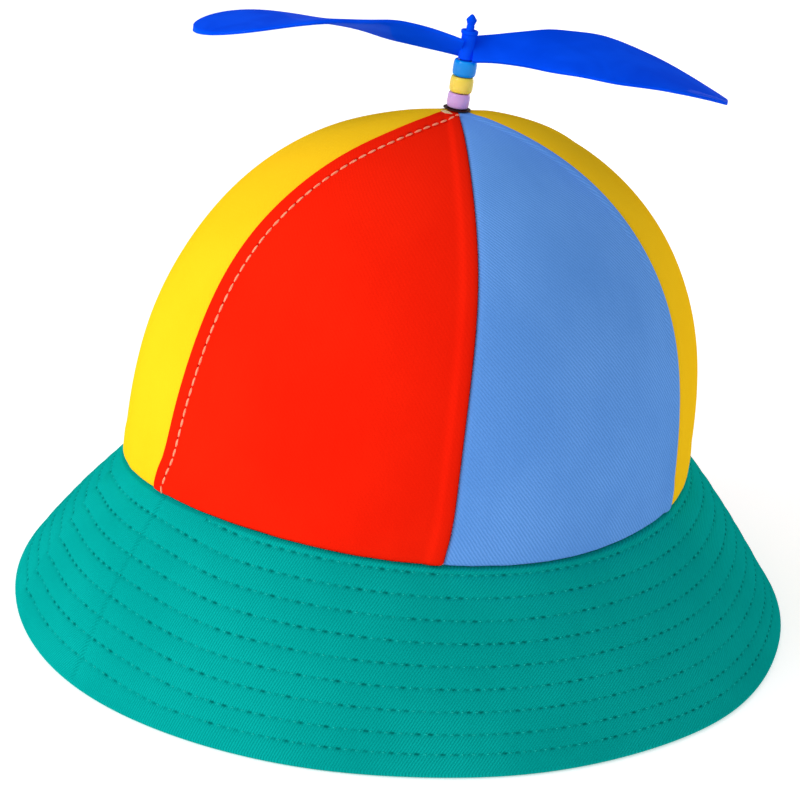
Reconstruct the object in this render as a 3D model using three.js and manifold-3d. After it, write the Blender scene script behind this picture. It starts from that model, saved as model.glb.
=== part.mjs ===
// A propeller beanie: a six-panel cloth crown on a wide stitched brim, and a toy propeller that
// spins on a pin above three beads. Millimetres, +Z up. The hat rests on the floor at z = 0, its
// brim centred on the origin, and its wearer would face -Y.

import * as THREE from 'three';
import { LoftGeometry } from 'three/addons/geometries/LoftGeometry.js';
import { mergeVertices } from 'three/addons/utils/BufferGeometryUtils.js';
import Module from 'manifold-3d';

const wasm = await Module();
wasm.setup();

// Crown
const footHalfWidth = 84.7; // half of the crown's foot, side to side
const footHalfLength = 100; // half of the crown's foot, front to back
const footCentreX = 3.5; // the foot's centre from the brim's
const footCentreY = 4.2;
const footHeight = 47.2; // mean height of the foot over the floor
const footSaddle = 4.9; // the foot rises by this much at front and back and sinks at the sides
const footTilt = 6.3; // the foot is higher by this much at the wearer's right, and lower at the left
const crownHeight = 164; // the crown's top over the floor
const crownWall = 1.2;
const panelCount = 6;
const panelGap = 0.3; // between two panels' edges
const backSeamTurn = -2.8; // degrees from +Y to the lapped back seam
const sideRoundness = 0.95; // powers of the crown's profile, where 1 and 1 give an ellipse
const topRoundness = 0.94;
const bellyShare = 0.033; // extra width half way up, as a share of the width there

// Brim
const brimHalfWidth = 120.2;
const brimHalfLength = 137.75;
const brimWall = 2;
const brimBow = 1.2; // the slope bows out by this much half way down
const brimGap = 0.3; // under the crown's foot

// Pin and what it carries, measured along the pin from the crown's top
const pinX = 5.9;
const pinY = 2.6;
const pinLean = 1.6; // degrees from upright
const pinLeanHeading = 225.5; // degrees from +X
const pinRadius = 1.25;
const pinHoleRadius = 3; // the hole that the panels' tips leave
const flangeRadius = 5;
const flangeThickness = 1.2;
const flangeGap = 0.5; // under the cloth
const stackGap = 0.25; // between any two things on the pin
const washerRadius = 4.4;
const washerThickness = 0.5;
const threadClearance = 0.6; // round the pin, in the washer's and beads' holes
const neckLength = 1.9; // pin that shows over the hub
const barbRadius = 1.65;
const barbTaper = 1.3; // from the neck out to the widest place
const barbPoint = 1.8; // from the widest place to the tip

const beads = [
  { name: 'bead_lilac', color: 0xcda0e1, radius: 3.55, height: 4.4, shift: 0 },
  { name: 'bead_yellow', color: 0xebd74b, radius: 3.7, height: 5.5, shift: 0.15 },
  { name: 'bead_blue', color: 0x0096f0, radius: 3.7, height: 4.6, shift: 0.3 },
];
const beadEdge = 1.1; // radius of a bead's rounded edges

// Propeller
const hubHeight = 9.1;
const hubWall = 0.75;
const spinClearance = 0.3; // between the pin and the hub's bore
const collarHeight = 1.3;
const collarStep = 0.4;
const bladeLength = 84.8; // from the pin's axis to a blade's tip
const bladeWidth = 36.5;
const bladeThickness = 1.1;
const bladeHeading = 52.8; // degrees from +X to the first blade
const bladeRootHeight = 3.5; // the blades' middle over the hub's foot
const bladeRise = 16.7; // the blades first rise, then droop
const bladeDroop = 20.9;
const bladeTipLength = 23.7; // of the rounded tip

// Stations along a blade: shares of its length and width, and its twist in degrees
const bladeStations = [
  { along: 0.022, width: 0.23, twist: 38 },
  { along: 0.118, width: 0.3, twist: 43 },
  { along: 0.236, width: 0.43, twist: 33.4 },
  { along: 0.377, width: 0.72, twist: 18.1 },
  { along: 0.542, width: 0.955, twist: 9.6 },
  { along: 0.731, width: 1, twist: 4.5 },
  { along: 1, width: 0.95, twist: -8.3 },
];

// Corners of a blade's cross-section: shares of its width and thickness
const bladeCorners = [
  { across: 0.5, up: 0 },
  { across: 0.38, up: 0.5 },
  { across: -0.38, up: 0.5 },
  { across: -0.5, up: 0 },
  { across: -0.38, up: -0.5 },
  { across: 0.38, up: -0.5 },
];

// Facets
const panelColumns = 8;
const panelRows = 14;
const brimColumns = 72;
const brimRows = 4;
const roundFacets = 16;
const bladeFacets = 18;

const radians = THREE.MathUtils.degToRad;

function cloth(name, color, geometry) {
  const material = new THREE.MeshStandardMaterial({ color, roughness: 0.95, metalness: 0 });
  const mesh = new THREE.Mesh(geometry, material);
  mesh.name = name;
  return mesh;
}

function plastic(name, color, geometry) {
  const material = new THREE.MeshStandardMaterial({ color, roughness: 0.35, metalness: 0 });
  const mesh = new THREE.Mesh(geometry, material);
  mesh.name = name;
  return mesh;
}

// The crown's foot is an oval, and its sides rise from it to the top along one profile

const footOval = new THREE.EllipseCurve(0, 0, footHalfWidth, footHalfLength);

function footPoint(angle) {
  const x = footHalfWidth * Math.cos(angle);
  const y = footHalfLength * Math.sin(angle);
  const z = footHeight - footSaddle * Math.cos(2 * angle) - footTilt * Math.cos(angle);
  return new THREE.Vector3(footCentreX + x, footCentreY + y, z);
}

function crownSpread(rise) {
  const side = Math.cos((Math.PI / 2) * rise);
  return side ** sideRoundness + bellyShare * Math.sin(Math.PI * rise) ** 2 * side;
}

function crownPoint(angle, rise) {
  const foot = footPoint(angle);
  const spread = crownSpread(rise);
  const climb = Math.sin((Math.PI / 2) * rise) ** topRoundness;
  return new THREE.Vector3(
    THREE.MathUtils.lerp(pinX, foot.x, spread),
    THREE.MathUtils.lerp(pinY, foot.y, spread),
    THREE.MathUtils.lerp(foot.z, crownHeight, climb),
  );
}

function crownNormal(angle, rise) {
  const step = 0.001;
  const point = crownPoint(angle, rise);
  const around = crownPoint(angle + step, rise).sub(point);
  const upward = crownPoint(angle, rise + step).sub(point);
  return around.cross(upward).normalize();
}

// Seams divide the foot into equal lengths, starting at the back seam

function seamAngle(seam) {
  const share = 0.25 + backSeamTurn / 360 + seam / panelCount;
  const turns = Math.floor(share);
  return 2 * Math.PI * (turns + footOval.getUtoTmapping(share - turns));
}

function halfGapAngle(angle, rise) {
  const footSpeed = Math.hypot(footHalfWidth * Math.sin(angle), footHalfLength * Math.cos(angle));
  return panelGap / 2 / (footSpeed * crownSpread(rise));
}

function panelSection(first, last, rise) {
  const start = first + halfGapAngle(first, rise);
  const end = last - halfGapAngle(last, rise);
  const outer = [];
  const inner = [];
  for (let column = 0; column <= panelColumns; column += 1) {
    const angle = THREE.MathUtils.lerp(start, end, column / panelColumns);
    const point = crownPoint(angle, rise);
    outer.push(point);
    inner.unshift(point.clone().addScaledVector(crownNormal(angle, rise), -crownWall));
  }
  return [...outer, ...inner];
}

function crownPanel(name, color, seam) {
  const tipSpread = pinHoleRadius / footHalfWidth;
  const tipRise = Math.acos(tipSpread ** (1 / sideRoundness)) / (Math.PI / 2);
  const sections = [];
  for (let row = 0; row <= panelRows; row += 1) {
    sections.push(panelSection(seamAngle(seam), seamAngle(seam + 1), (tipRise * row) / panelRows));
  }
  return cloth(name, color, new LoftGeometry(sections, { capStart: true, capEnd: true }));
}

// The brim is one ring that slopes from the crown's foot to the floor and ends there in a flat edge

function brimPoint(angle, drop) {
  const point = footPoint(angle);
  point.z -= brimGap;
  const rimX = brimHalfWidth * Math.cos(angle);
  const rimY = brimHalfLength * Math.sin(angle);
  point.lerp(new THREE.Vector3(rimX, rimY, 0), drop);
  const bow = brimBow * Math.sin(Math.PI * drop);
  point.x += bow * Math.cos(angle);
  point.y += bow * Math.sin(angle);
  return point;
}

function brimSection(angle) {
  const top = brimPoint(angle, 0);
  const edge = brimPoint(angle, 1);
  const slope = Math.atan2(top.z - edge.z, Math.hypot(edge.x - top.x, edge.y - top.y));
  const inward = brimWall / Math.sin(slope);
  const outer = [];
  const inner = [];
  for (let row = 0; row <= brimRows; row += 1) {
    const point = brimPoint(angle, row / brimRows);
    outer.push(point);
    const shift = new THREE.Vector3(-Math.cos(angle), -Math.sin(angle), 0);
    inner.unshift(point.clone().addScaledVector(shift, inward));
  }
  return [...outer, ...inner];
}

function brim() {
  const sections = [];
  for (let column = 0; column <= brimColumns; column += 1) {
    sections.push(brimSection((2 * Math.PI * (column % brimColumns)) / brimColumns));
  }
  return cloth('brim', 0x00afa5, new LoftGeometry(sections));
}

// Turned pieces stand on their own axis, with the profile's x as the radius and y as the height

function turned(profile) {
  return new THREE.LatheGeometry(profile.getPoints(4), roundFacets).rotateX(Math.PI / 2);
}

function ringProfile(innerRadius, outerRadius, height, edge) {
  const profile = new THREE.Path();
  profile.moveTo(innerRadius, 0);
  profile.lineTo(outerRadius - edge, 0);
  profile.absarc(outerRadius - edge, edge, edge, -Math.PI / 2, 0);
  profile.absarc(outerRadius - edge, height - edge, edge, 0, Math.PI / 2);
  profile.lineTo(innerRadius, height);
  profile.closePath();
  return profile;
}

function washer() {
  const edge = washerThickness / 4;
  const hole = pinRadius + threadClearance;
  const profile = ringProfile(hole, washerRadius, washerThickness, edge);
  const mesh = plastic('washer', 0x3a1c14, turned(profile));
  mesh.position.z = stackGap;
  return mesh;
}

function bead({ name, color, radius, height, shift }, level) {
  const profile = ringProfile(pinRadius + threadClearance, radius, height, beadEdge);
  const mesh = plastic(name, color, turned(profile));
  const heading = radians(pinLeanHeading);
  mesh.position.set(shift * Math.cos(heading), shift * Math.sin(heading), level);
  return mesh;
}

function pin(hubTop) {
  const flangeTop = -crownWall - flangeGap;
  const neckTop = hubTop + neckLength;
  const profile = new THREE.Path();
  profile.moveTo(0, flangeTop - flangeThickness);
  profile.lineTo(flangeRadius, flangeTop - flangeThickness);
  profile.lineTo(flangeRadius, flangeTop);
  profile.lineTo(pinRadius, flangeTop);
  profile.lineTo(pinRadius, neckTop);
  profile.lineTo(barbRadius, neckTop + barbTaper);
  profile.lineTo(0, neckTop + barbTaper + barbPoint);
  return plastic('pin', 0x0a46d2, turned(profile));
}

// The propeller is one moulding: two twisted blades joined to a hub, then bored for the pin

function solid(geometry) {
  geometry.deleteAttribute('normal');
  geometry.deleteAttribute('uv');
  const merged = mergeVertices(geometry, 0.0001);
  const mesh = new wasm.Mesh({
    numProp: 3,
    vertProperties: Float32Array.from(merged.attributes.position.array),
    triVerts: Uint32Array.from(merged.index.array),
  });
  mesh.merge();
  return new wasm.Manifold(mesh);
}

function surface(manifold) {
  const mesh = manifold.getMesh();
  const geometry = new THREE.BufferGeometry();
  geometry.setAttribute('position', new THREE.BufferAttribute(mesh.vertProperties, 3));
  geometry.setIndex(new THREE.BufferAttribute(mesh.triVerts, 1));
  geometry.computeVertexNormals();
  return geometry;
}

function blendStations(key, along) {
  let next = bladeStations.findIndex((station) => station.along >= along);
  next = THREE.MathUtils.clamp(next, 1, bladeStations.length - 1);
  const before = bladeStations[next - 1];
  const after = bladeStations[next];
  const share = (along - before.along) / (after.along - before.along);
  return THREE.MathUtils.lerp(before[key], after[key], share);
}

function tipWidth(along) {
  const into = Math.max(0, 1 - (bladeLength * (1 - along)) / bladeTipLength);
  return Math.sqrt(Math.max(0, 1 - into ** 2));
}

function bladeSection(along) {
  const width = bladeWidth * blendStations('width', along) * tipWidth(along);
  const twist = radians(blendStations('twist', along));
  const height = bladeRootHeight + bladeRise * along - bladeDroop * along ** 2;
  return bladeCorners.map((corner) => {
    const across = width * corner.across;
    const thick = bladeThickness * corner.up;
    return new THREE.Vector3(
      bladeLength * along,
      across * Math.cos(twist) - thick * Math.sin(twist),
      height + across * Math.sin(twist) + thick * Math.cos(twist),
    );
  });
}

function blade(heading) {
  const rootAlong = bladeStations[0].along;
  const lastAlong = 0.998; // the rounded tip ends in a short edge, not in a point
  const sections = [];
  for (let facet = 0; facet <= bladeFacets; facet += 1) {
    const ease = Math.sin(((Math.PI / 2) * facet) / bladeFacets);
    sections.push(bladeSection(THREE.MathUtils.lerp(rootAlong, lastAlong, ease)));
  }
  const geometry = new LoftGeometry(sections, { capStart: true, capEnd: true });
  return geometry.rotateZ(radians(heading));
}

function propeller() {
  const boreRadius = pinRadius + spinClearance;
  const hubRadius = boreRadius + hubWall;
  const hubProfile = new THREE.Path();
  hubProfile.moveTo(0, 0);
  hubProfile.lineTo(hubRadius, 0);
  hubProfile.lineTo(hubRadius, hubHeight - collarHeight);
  hubProfile.lineTo(hubRadius + collarStep, hubHeight - collarHeight);
  hubProfile.lineTo(hubRadius + collarStep, hubHeight);
  hubProfile.lineTo(0, hubHeight);
  const boreProfile = new THREE.Path();
  boreProfile.moveTo(0, -hubHeight);
  boreProfile.lineTo(boreRadius, -hubHeight);
  boreProfile.lineTo(boreRadius, 2 * hubHeight);
  boreProfile.lineTo(0, 2 * hubHeight);
  const moulding = solid(turned(hubProfile))
    .add(solid(blade(bladeHeading)))
    .add(solid(blade(bladeHeading + 180)))
    .subtract(solid(turned(boreProfile)));
  return plastic('propeller', 0x003cdc, surface(moulding));
}

// All that stands on the crown's top leans with the pin

function spindle() {
  const stand = new THREE.Group();
  const heading = radians(pinLeanHeading);
  const leanAxis = new THREE.Vector3(-Math.sin(heading), Math.cos(heading), 0);
  stand.position.set(pinX, pinY, crownHeight);
  stand.quaternion.setFromAxisAngle(leanAxis, radians(pinLean));
  stand.add(washer());
  let level = stackGap + washerThickness + stackGap;
  beads.forEach((each) => {
    stand.add(bead(each, level));
    level += each.height + stackGap;
  });
  const rotor = propeller();
  rotor.position.z = level;
  stand.add(rotor);
  stand.add(pin(level + hubHeight));
  return stand;
}

// The panels run anticlockwise seen from above, and start at the back seam

const group = new THREE.Group();
group.add(crownPanel('crown_panel_back_right', 0xff230f, 0));
group.add(crownPanel('crown_panel_right', 0x5591e1, 1));
group.add(crownPanel('crown_panel_front_right', 0xffe11e, 2));
group.add(crownPanel('crown_panel_front_left', 0xff230f, 3));
group.add(crownPanel('crown_panel_left', 0x5591e1, 4));
group.add(crownPanel('crown_panel_back_left', 0xffe11e, 5));
group.add(brim());
group.add(spindle());

export default group;
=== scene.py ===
from bisect import bisect_right
from math import acos, cos, exp, floor, hypot, pi, radians, sin, sqrt

import bmesh
import bpy
from mathutils import Matrix, Vector, noise


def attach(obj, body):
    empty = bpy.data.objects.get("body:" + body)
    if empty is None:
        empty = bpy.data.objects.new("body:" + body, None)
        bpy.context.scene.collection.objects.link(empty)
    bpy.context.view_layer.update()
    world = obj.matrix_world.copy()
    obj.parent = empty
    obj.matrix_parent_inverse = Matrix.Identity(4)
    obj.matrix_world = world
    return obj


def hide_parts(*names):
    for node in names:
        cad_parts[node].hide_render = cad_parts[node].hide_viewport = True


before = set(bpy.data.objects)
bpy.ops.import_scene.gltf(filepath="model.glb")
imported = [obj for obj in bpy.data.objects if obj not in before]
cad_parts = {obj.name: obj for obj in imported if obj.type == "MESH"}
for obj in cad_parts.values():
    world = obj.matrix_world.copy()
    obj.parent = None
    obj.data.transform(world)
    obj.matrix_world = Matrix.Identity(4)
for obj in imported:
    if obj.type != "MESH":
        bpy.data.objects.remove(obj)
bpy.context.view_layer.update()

# A propeller beanie on a white studio floor. Lengths are metres, and angles are degrees where a
# name ends in turn, lean, heading, roll or slant.

# The crown, as in the part
FOOT_HALF_WIDTH = 0.0847
FOOT_HALF_LENGTH = 0.1
FOOT_CENTRE_X = 0.0035
FOOT_CENTRE_Y = 0.0042
FOOT_HEIGHT = 0.0472
FOOT_SADDLE = 0.0049
FOOT_TILT = 0.0063
CROWN_HEIGHT = 0.164
PANEL_COUNT = 6
BACK_SEAM_TURN = -2.8
SIDE_ROUNDNESS = 0.95
TOP_ROUNDNESS = 0.94
BELLY_SHARE = 0.033
PANEL_TIP_RADIUS = 0.0019  # the panels' tips close in round the pin
TOP_DIP = 0.0017  # on one side the cloth sags by this much between the pin and the shoulder
TOP_DIP_HEADING = 338
TOP_DIP_RADIUS = 0.024
TOP_DIP_WIDTH = 0.017
FAR_DIP = 0.0018  # and the two panels on the far side sag by this much more
FAR_DIP_HEADING = 327
PEAK_LIFT = 0.0004  # the seams heap up round the pin
PEAK_WIDTH = 0.012

# The crown's cloth and seams
CLOTH_THICKNESS = 0.0009
PANEL_COLUMNS = 64
PANEL_ROWS = 112
SEAM_GAP = 0.0001  # from a seam to the cloth on each side
# Where the first three seams wander round the crown: height up the cloth, distance, and spread
SEAM_WAVES = [
    [(0, -0.0036, 0.0105), (0.043, 0.0018, 0.026)],
    [(0, -0.0015, 0.009), (0.085, 0.0014, 0.03)],
    [(0, 0.0014, 0.02), (0.078, 0.0032, 0.045)],
]
# The back seam's fold also swings round near the top
FOLD_SWING = 0.0032
FOLD_SWING_RADIUS = 0.024
FOLD_SWING_WIDTH = 0.022
SEAM_ROLL = 0.0009  # a plain seam draws the cloth in by this much
SEAM_ROLL_WIDTH = 0.0007
ALLOWANCE_LIFT = 0.0006  # the turned-in edge raises a band beside the seam
ALLOWANCE_WIDTH = 0.0048
LAP_LIFT = 0.0006  # the folded edge that lies over its neighbour at the back seam
LAP_OVERLAP = 0.0006
LAP_FOLD_RADIUS = 0.0005
TOPSTITCH_INSET = 0.0048  # from the fold, at the foot
TOPSTITCH_TOP_INSET = 0.0062  # and at the top
TOPSTITCH_PITCH = 0.0033
TOPSTITCH_LENGTH = 0.003
TOPSTITCH_WIDTH = 0.0008
TACK_PLACE = 0.35  # the tack at the red panel's tip, as a share of the way across it
TACK_RISE = 0.965
TACK_LENGTH = 0.0046
TACK_SLANT = -0.55
FOOT_ROLL = 0.0011  # the crown's foot turns in a little to meet the brim
FOOT_ROLL_WIDTH = 0.0005
FOOT_BAND_LIFT = 0.00035
FOOT_BAND_WIDTH = 0.009
TURNED_IN = 0.0018
CROWN_DRIFT = 0.0005  # slow unevenness of the cloth
CROWN_DRIFT_SCALE = 26

# The brim
BRIM_HALF_WIDTH = 0.1202
BRIM_HALF_LENGTH = 0.13775
BRIM_WALL = 0.002
BRIM_BOW = 0.0012
BRIM_GAP = 0.0003
BRIM_SLANT = 0.063  # along its slope, crown seam to rim
BRIM_COLUMNS = 560
BRIM_OUTER_ROWS = 114
BRIM_INNER_ROWS = 22
BRIM_EDGE_STEPS = 7
BRIM_CUT_RADIUS = 0.163  # inner radius of the flat ring that it is cut from
BRIM_CUT_SHARE = 0.57  # of a full turn
# One line of stitches winds down the slope: most of a lap's drop comes late in the lap
SPIRAL_START = -0.0004
SPIRAL_SPACING = 0.00695
SPIRAL_FIRST = 0.035  # the laps at which it comes out from the crown's seam and where it ends
SPIRAL_LAST = 8.55
SPIRAL_LOWEST = 0.057
STITCH_PITCH = 0.0038
STITCH_SHOWING = 0.001  # the thread shows only where it leaves a hole
STITCH_PLACE = 0.33  # the middle of that, as a share of the pitch
STITCH_WIDTH = 0.00055
STITCH_SINK = 0.00025
STITCH_SINK_WIDTH = 0.0006
QUILT_SWELL = 0.00012
BRIM_TUCK = 0.0006  # the brim dives under the crown's edge
BRIM_TUCK_WIDTH = 0.00025
BRIM_SEAM_START = 88.6  # degrees from +X where the brim's own seam leaves the crown
BRIM_SEAM_DRIFT = 2.6  # and how far it has moved on at the rim
BRIM_SEAM_DEPTH = 0.0007
CREASE_START = 61
CREASE_DRIFT = 8.5
CREASE_LIFT = 0.0015
CREASE_WIDTH = 0.0045
BRIM_DRIFT = 0.0006
RIM_REACH = 0.0006
# Waves in the rim: heading in degrees from +X, reach, and width in degrees
RIM_WAVES = [(92, 0.0018, 21), (142, -0.0009, 13), (193, 0.0016, 15), (300, 0.0012, 25)]

# The pin and what it carries
PIN_X = 0.0059
PIN_Y = 0.0026
PIN_LEAN = 1.6
PIN_LEAN_HEADING = 225.5
PIN_RADIUS = 0.00125
FLANGE_RADIUS = 0.005
FLANGE_TOP = -0.0017
FLANGE_FOOT = -0.0029
STACK_GAP = 0.00025
STACK_LIFT = 0.0004  # it stands on the heaped seams
WASHER_RADIUS = 0.0044
WASHER_THICKNESS = 0.00035
THREAD_CLEARANCE = 0.0006
NECK_LENGTH = 0.0019
BARB_RADIUS = 0.00165
BARB_TAPER = 0.0013
BARB_POINT = 0.0018
ROUND_STEPS = 48

# The propeller
HUB_HEIGHT = 0.0091
HUB_WALL = 0.00075
SPIN_CLEARANCE = 0.0003
COLLAR_HEIGHT = 0.0013
COLLAR_STEP = 0.0004
BLADE_LENGTH = 0.0848
BLADE_WIDTH = 0.0365
BLADE_THICKNESS = 0.0018
BLADE_HEADING = 52.8
BLADE_ROOT_HEIGHT = 0.0029
BLADE_RISE = 0.0167
BLADE_DROOP = 0.0209
BLADE_TIP_LENGTH = 0.0237
BLADE_BENDS = [0.0002, 0.0012]  # each blade's tip has sagged by this much
BLADE_AROUND = 28
BLADE_ALONG = 90

# Stations along a blade: share of its length, share of its width, twist in degrees
BLADE_STATIONS = [
    (0.022, 0.28, 38),
    (0.118, 0.3, 42),
    (0.236, 0.43, 33.4),
    (0.377, 0.72, 18.1),
    (0.542, 0.955, 11.4),
    (0.731, 1, 4.2),
    (1, 0.97, -3.5),
]

# The camera stands at the back right of the wearer
CAMERA_TURN = -134.55
CAMERA_RISE = 21.7
CAMERA_ROLL = 7.66
CAMERA_DISTANCE = 0.7
CAMERA_LENS = 95.4
CAMERA_AIM = (0.0035, 0.0042, 0.0656)
CAMERA_SIDE_STEP = -0.00606

# The studio
KEY_TURN = CAMERA_TURN - 60
KEY_RISE = 27
KEY_DISTANCE = 1.3
KEY_SIZE = 0.9
KEY_POWER = 7.8
FILL_TURN = CAMERA_TURN + 145
FILL_RISE = 16
FILL_POWER = 5
DOME_TURN = CAMERA_TURN - 45
DOME_LOW = 0.38
DOME_HIGH = 0.95
DOME_TOP = 0.92  # the dome overhead, as a share of its brightness low down
FLOOR_SIZE = 30
FLOOR_GLOW = 0.42


def lerp(low, high, share):
    return low + (high - low) * share


def smooth_step(value, low, high):
    share = min(max((value - low) / (high - low), 0), 1)
    return share * share * (3 - 2 * share)


def bell(distance, width):
    return exp(-((distance / width) ** 2))


def turn_between(first, second):
    return (second - first + pi) % (2 * pi) - pi


# Spreads evenly spaced shares so that they crowd towards 0 and 1
def crowded(share, pull=0.7):
    return share - pull * sin(2 * pi * share) / (2 * pi)


def paint(red, green, blue):
    linear = []
    for value in (red, green, blue):
        level = value / 255
        linear.append(level / 12.92 if level < 0.04045 else ((level + 0.055) / 1.055) ** 2.4)
    return (*linear, 1)


# Makes the piece at the origin, with its place in its mesh
def finished(name, bm, material, body, slot, *nodes):
    mesh = bpy.data.meshes.new(name)
    bm.to_mesh(mesh)
    bm.free()
    mesh.materials.append(material)
    mesh.polygons.foreach_set("use_smooth", [True] * len(mesh.polygons))
    piece = bpy.data.objects.new(name, mesh)
    bpy.context.scene.collection.objects.link(piece)
    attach(piece, body)
    if nodes:
        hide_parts(*nodes)
    return piece


# Node helpers


def add_node(tree, kind, feeds=None, **settings):
    made = tree.nodes.new("ShaderNode" + kind)
    for name, value in settings.items():
        setattr(made, name, value)
    for name, value in (feeds or {}).items():
        socket = made.inputs[name]
        if isinstance(value, bpy.types.NodeSocket):
            tree.links.new(value, socket)
        else:
            socket.default_value = value
    return made


def maths(tree, operation, *values):
    return add_node(tree, "Math", dict(enumerate(values)), operation=operation).outputs[0]


def ramp(tree, value, low, high, start=0.0, end=1.0):
    feeds = {"Value": value, "From Min": low, "From Max": high, "To Min": start, "To Max": end}
    return add_node(tree, "MapRange", feeds, interpolation_type="SMOOTHSTEP").outputs["Result"]


def mix_colours(tree, share, first, second):
    made = add_node(tree, "Mix", {"Factor": share}, data_type="RGBA")
    for socket, value in ((made.inputs[6], first), (made.inputs[7], second)):
        if isinstance(value, bpy.types.NodeSocket):
            tree.links.new(value, socket)
        else:
            socket.default_value = value
    return made.outputs[2]


def start_group(name, inputs, outputs):
    tree = bpy.data.node_groups.new(name, "ShaderNodeTree")
    for label, value in inputs:
        socket = tree.interface.new_socket(label, in_out="INPUT", socket_type="NodeSocketFloat")
        socket.default_value = value
    for label in outputs:
        tree.interface.new_socket(label, in_out="OUTPUT", socket_type="NodeSocketFloat")
    given = tree.nodes.new("NodeGroupInput").outputs
    wanted = tree.nodes.new("NodeGroupOutput").inputs
    return tree, given, wanted


def use_group(tree, group, **values):
    made = tree.nodes.new("ShaderNodeGroup")
    made.node_tree = group
    for label, value in values.items():
        made.inputs[label.replace("_", " ")].default_value = value
    return made.outputs


# Diagonal ribs of short floats, on the cloth's own flat lengths
def make_twill_weave():
    inputs = [("Pitch", 0.0008), ("Slant", 1.0)]
    tree, given, wanted = start_group("twill weave", inputs, ["Height", "Rib"])
    flat = add_node(tree, "UVMap", uv_map="weave").outputs["UV"]
    wobble = add_node(tree, "TexNoise", {"Vector": flat, "Scale": 420.0, "Detail": 1.0})
    turned = add_node(tree, "VectorRotate", {"Vector": flat, "Angle": given["Slant"]}, rotation_type="Z_AXIS")
    per_metre = maths(tree, "DIVIDE", 1.0, given["Pitch"])
    scaled = add_node(tree, "VectorMath", {"Vector": turned.outputs[0], "Scale": per_metre}, operation="SCALE")
    axes = add_node(tree, "SeparateXYZ", {"Vector": scaled.outputs[0]}).outputs
    shaken = maths(tree, "MULTIPLY_ADD", wobble.outputs[0], 0.5, axes["X"])
    rib_wave = maths(tree, "COSINE", maths(tree, "MULTIPLY", shaken, 2 * pi))
    rib = maths(tree, "MULTIPLY_ADD", rib_wave, 0.5, 0.5)
    rib_number = maths(tree, "FLOOR", maths(tree, "ADD", shaken, 0.5))
    along = maths(tree, "MULTIPLY_ADD", rib_number, 0.37, maths(tree, "MULTIPLY", axes["Y"], 0.62))
    float_wave = maths(tree, "COSINE", maths(tree, "MULTIPLY", along, 2 * pi))
    float_height = maths(tree, "MULTIPLY_ADD", float_wave, 0.16, 0.84)
    tree.links.new(maths(tree, "MULTIPLY", rib, float_height), wanted["Height"])
    tree.links.new(rib, wanted["Rib"])
    return tree


# Slow drift, slubs along the yarn and fine fibres
def make_cloth_tone():
    inputs = [("Drift scale", 22.0), ("Slub scale", 260.0), ("Fibre scale", 2600.0)]
    tree, given, wanted = start_group("cloth tone", inputs, ["Drift", "Slub", "Fibre"])
    place = add_node(tree, "TexCoord").outputs["Object"]
    flat = add_node(tree, "UVMap", uv_map="weave").outputs["UV"]
    stretched = add_node(tree, "Mapping", {"Vector": flat, "Scale": (1, 0.18, 1)}).outputs[0]
    drift = add_node(tree, "TexNoise", {"Vector": place, "Scale": given["Drift scale"], "Detail": 3.0})
    slub = add_node(tree, "TexNoise", {"Vector": stretched, "Scale": given["Slub scale"], "Detail": 2.0})
    fibre = add_node(tree, "TexNoise", {"Vector": flat, "Scale": given["Fibre scale"], "Detail": 3.0})
    tree.links.new(drift.outputs[0], wanted["Drift"])
    tree.links.new(slub.outputs[0], wanted["Slub"])
    tree.links.new(fibre.outputs[0], wanted["Fibre"])
    return tree


# A long hole at each end of a stitch, some deeper than others, masking painted shade, and the dimple drawn in round it
def make_needle_holes():
    tree, given, wanted = start_group("needle holes", [("Pitch", 0.0038)], ["Hole", "Dimple"])
    places = add_node(tree, "UVMap", uv_map="stitches").outputs["UV"]
    axes = add_node(tree, "SeparateXYZ", {"Vector": places}).outputs
    whole = maths(tree, "ROUND", axes["X"])
    pull = add_node(tree, "TexWhiteNoise", {"W": whole}, noise_dimensions="1D").outputs["Value"]
    slack = maths(tree, "MULTIPLY_ADD", pull, 0.16, -0.08)
    off_hole = maths(tree, "ADD", maths(tree, "SUBTRACT", axes["X"], whole), slack)
    along = maths(tree, "MULTIPLY", maths(tree, "MULTIPLY", off_hole, given["Pitch"]), 0.45)
    offset = add_node(tree, "CombineXYZ", {"X": along, "Y": axes["Y"]}).outputs[0]
    distance = add_node(tree, "VectorMath", {"Vector": offset}, operation="LENGTH").outputs["Value"]
    strength = ramp(tree, pull, 0.0, 1.0, 0.25, 0.95)
    # The hole mask paints shade into the base colour, and the dimple only bends the normal
    tree.links.new(maths(tree, "MULTIPLY", ramp(tree, distance, 0.00065, 0.0001), strength), wanted["Hole"])
    tree.links.new(maths(tree, "MULTIPLY", ramp(tree, distance, 0.0011, 0.0001), strength), wanted["Dimple"])
    return tree


# Faint flow marks and handling haze of a moulded piece
def make_moulded_skin():
    inputs = [("Grain scale", 900.0), ("Flow scale", 60.0)]
    tree, given, wanted = start_group("moulded skin", inputs, ["Grain", "Flow"])
    place = add_node(tree, "TexCoord").outputs["Object"]
    grain = add_node(tree, "TexNoise", {"Vector": place, "Scale": given["Grain scale"], "Detail": 2.0})
    flow = add_node(tree, "TexNoise", {"Vector": place, "Scale": given["Flow scale"], "Detail": 2.0, "Distortion": 0.6})
    tree.links.new(grain.outputs[0], wanted["Grain"])
    tree.links.new(flow.outputs[0], wanted["Flow"])
    return tree


TWILL_WEAVE = make_twill_weave()
CLOTH_TONE = make_cloth_tone()
NEEDLE_HOLES = make_needle_holes()
MOULDED_SKIN = make_moulded_skin()


def start_material(name, **constants):
    material = bpy.data.materials.new(name)
    material.use_nodes = True
    tree = material.node_tree
    tree.nodes.clear()
    shader = add_node(tree, "BsdfPrincipled")
    for label, value in constants.items():
        shader.inputs[label.replace("_", " ")].default_value = value
    output = tree.nodes.new("ShaderNodeOutputMaterial")
    tree.links.new(shader.outputs[0], output.inputs[0])
    return material, tree, shader.inputs


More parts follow.
